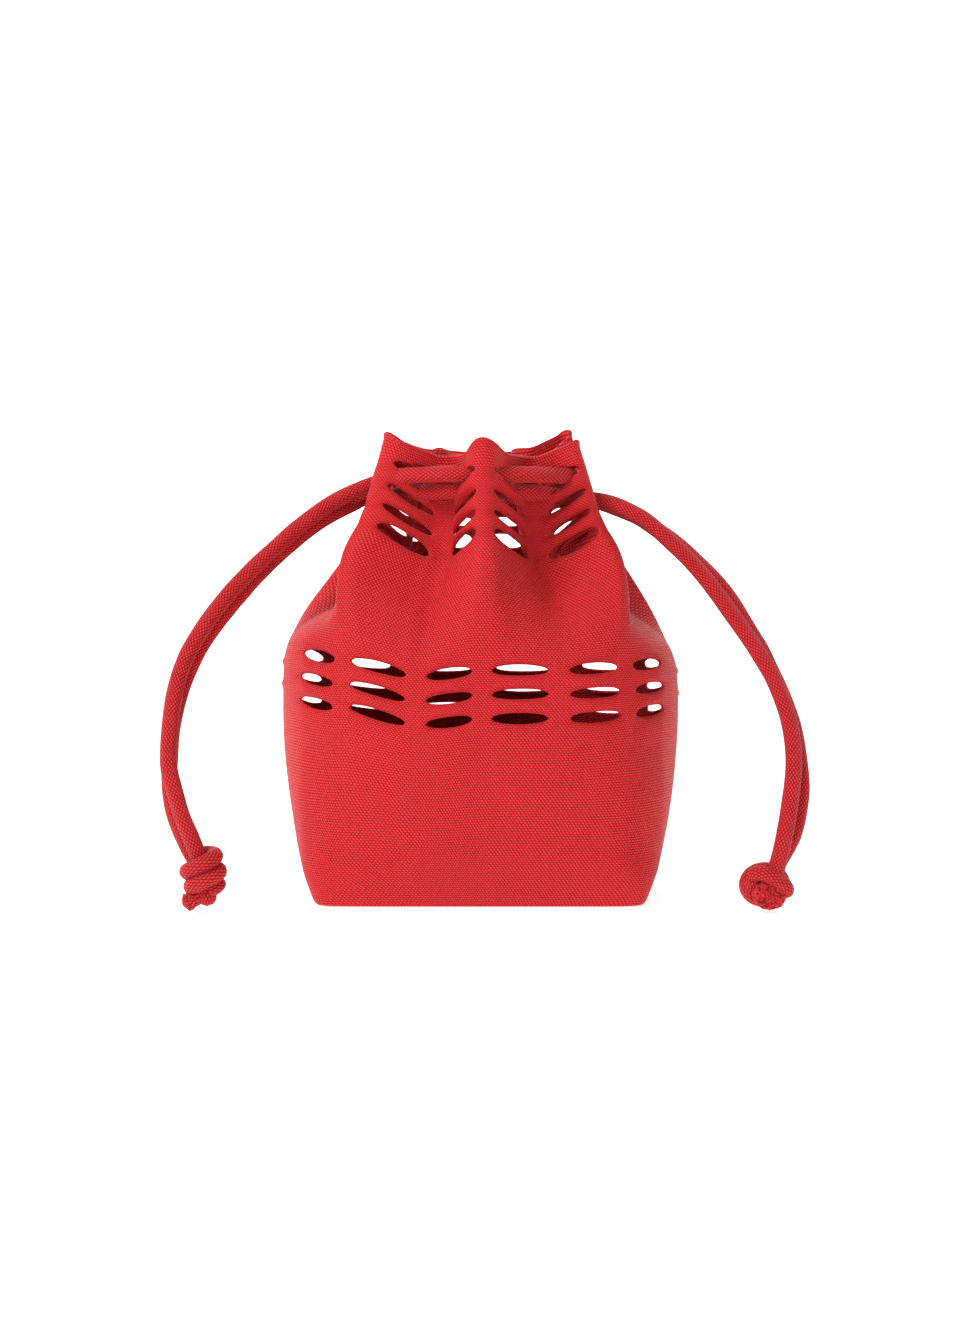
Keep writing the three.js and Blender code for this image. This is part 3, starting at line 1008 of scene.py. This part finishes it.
# The left knot stands on end: two slanting turns round the strands, a lobe and a loose end
leftKnot = makeKnot(
    "leftKnotTurns",
    [
        {"points": coil((-0.116, -0.0655, 0.0172), (-0.27, 0, 1), 0.0062, 2.1, 0.0136, 70)},
        {
            "points": [
                (-0.1165, -0.0655, 0.0235),
                (-0.116, -0.0655, 0.0165),
                (-0.1148, -0.067, 0.0105),
                (-0.1142, -0.068, 0.0072),
                (-0.1142, -0.068, 0.003),
            ],
            "radius": 0.0042,
        },
        {
            "points": [
                (-0.1125, -0.062, 0.0125),
                (-0.1095, -0.0655, 0.012),
                (-0.1112, -0.0695, 0.0105),
                (-0.1142, -0.0705, 0.0105),
            ],
            "radius": 0.003,
        },
        {
            "points": [
                (-0.1155, -0.0645, 0.0125),
                (-0.1176, -0.0668, 0.0088),
                (-0.1205, -0.0678, 0.0058),
                (-0.1236, -0.0682, 0.0036),
            ],
            "radius": 0.0036,
            "endRound": 0.0014,
            "fray": 0.0011,
        },
    ],
    "left_knot",
)

# The right knot lies on its side: its turns are seen end on round the rough cut end of the cord
rightKnot = makeKnot(
    "rightKnotTurns",
    [
        {
            "points": coil(
                (0.1199, -0.0612, 0.0106), (0, -1, 0), 0.0083, 1.75, 0.0052, -60, 0.005, 0.84
            ),
        },
        {
            "points": [
                (0.1135, -0.0645, 0.0145),
                (0.1165, -0.0668, 0.0166),
                (0.1205, -0.0682, 0.016),
                (0.125, -0.0682, 0.0135),
                (0.1282, -0.0665, 0.0105),
                (0.1288, -0.063, 0.0072),
            ],
            "radius": 0.0033,
        },
    ],
    "right_knot",
)


# The cut end is a low dome of short yarn
cutEnd = {
    "place": (0.1213, -0.0655, 0.0078),
    "facing": (0.08, -1, -0.12),
    "width": 0.0145,
    "height": 0.013,
    "depth": 0.008,
    "flatness": 0.55,
    "roughness": 0.0007,
    "roughScale": 1100,
}


def makeCutEnd(shape):
    mesh = bmesh.new()
    layer = mesh.loops.layers.uv.new(mapName)
    bmesh.ops.create_uvsphere(mesh, u_segments=56, v_segments=36, radius=1)
    halfWidth, halfHeight = shape["width"] / 2, shape["height"] / 2
    for face in mesh.faces:
        for loop in face.loops:
            loop[layer].uv = (loop.vert.co.x * halfWidth, loop.vert.co.z * halfHeight)
    for vertex in mesh.verts:
        flattened = math.copysign(abs(vertex.co.y) ** shape["flatness"], vertex.co.y)
        vertex.co.x *= halfWidth
        vertex.co.y = flattened * shape["depth"] / 2
        vertex.co.z *= halfHeight
        vertex.co += noise.noise_vector(vertex.co * shape["roughScale"]) * shape["roughness"]
    turned = Vector((0, -1, 0)).rotation_difference(Vector(shape["facing"])).to_matrix()
    bmesh.ops.rotate(mesh, verts=mesh.verts, cent=(0, 0, 0), matrix=turned)
    bmesh.ops.translate(mesh, verts=mesh.verts, vec=shape["place"])
    piece = newPiece("rightCutEnd", mesh, cutMaterial)
    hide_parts("right_knot")
    return piece


rightCutEnd = makeCutEnd(cutEnd)
print("knots made")

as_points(leftLine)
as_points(rightLine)


# Floor and light
studio = {
    "floorSize": 12.0,
    "floorColour": (0.9, 0.9, 0.9),
    "floorGlow": 0.6,
    "wallPlace": 2.2,
    "wallGlow": 1.0,
    "worldStrength": 0.39,
    "keyPower": 27.5,
    "keySize": 0.7,
    "keyPlace": (-0.93, -0.76, 1.42),
    "fillPower": 2.4,
    "fillSize": 1.0,
    "fillPlace": (0.6, -1.4, 0.4),
}


def areaLight(name, place, power, size):
    light = bpy.data.objects.new(name, bpy.data.lights.new(name, "AREA"))
    bpy.context.scene.collection.objects.link(light)
    light.location = place
    aim = Vector((0, 0, 0.1)) - Vector(place)
    light.rotation_euler = aim.to_track_quat("-Z", "Y").to_euler()
    light.data.energy = power
    light.data.size = size


def glowingMaterial(name, glow):
    material, tree, shader = newMaterial(name)
    shader.inputs["Base Color"].default_value = (*studio["floorColour"], 1)
    shader.inputs["Roughness"].default_value = 0.9
    shader.inputs["Specular IOR Level"].default_value = 0.1
    shader.inputs["Emission Color"].default_value = (1, 1, 1, 1)
    shader.inputs["Emission Strength"].default_value = glow
    return material


def stagePlane(name, glow, turn, place):
    mesh = bmesh.new()
    bmesh.ops.create_grid(mesh, x_segments=1, y_segments=1, size=studio["floorSize"] / 2)
    bmesh.ops.rotate(mesh, verts=mesh.verts, cent=(0, 0, 0), matrix=Matrix.Rotation(turn, 3, "X"))
    bmesh.ops.translate(mesh, verts=mesh.verts, vec=place)
    data = bpy.data.meshes.new(name)
    mesh.to_mesh(data)
    mesh.free()
    plane = bpy.data.objects.new(name, data)
    bpy.context.scene.collection.objects.link(plane)
    data.materials.append(glowingMaterial(name + "Surface", glow))


def makeStudio():
    stagePlane("studioFloor", studio["floorGlow"], 0, (0, 0, -0.0002))
    stagePlane("studioWall", studio["wallGlow"], math.pi / 2, (0, studio["wallPlace"], 0))
    world = bpy.data.worlds.new("studioWorld")
    world.use_nodes = True
    background = world.node_tree.nodes["Background"]
    background.inputs["Color"].default_value = (1, 1, 1, 1)
    background.inputs["Strength"].default_value = studio["worldStrength"]
    bpy.context.scene.world = world
    areaLight("keyLight", studio["keyPlace"], studio["keyPower"], studio["keySize"])
    areaLight("fillLight", studio["fillPlace"], studio["fillPower"], studio["fillSize"])
    bpy.context.scene.view_settings.view_transform = "Standard"


makeStudio()
print("studio made")
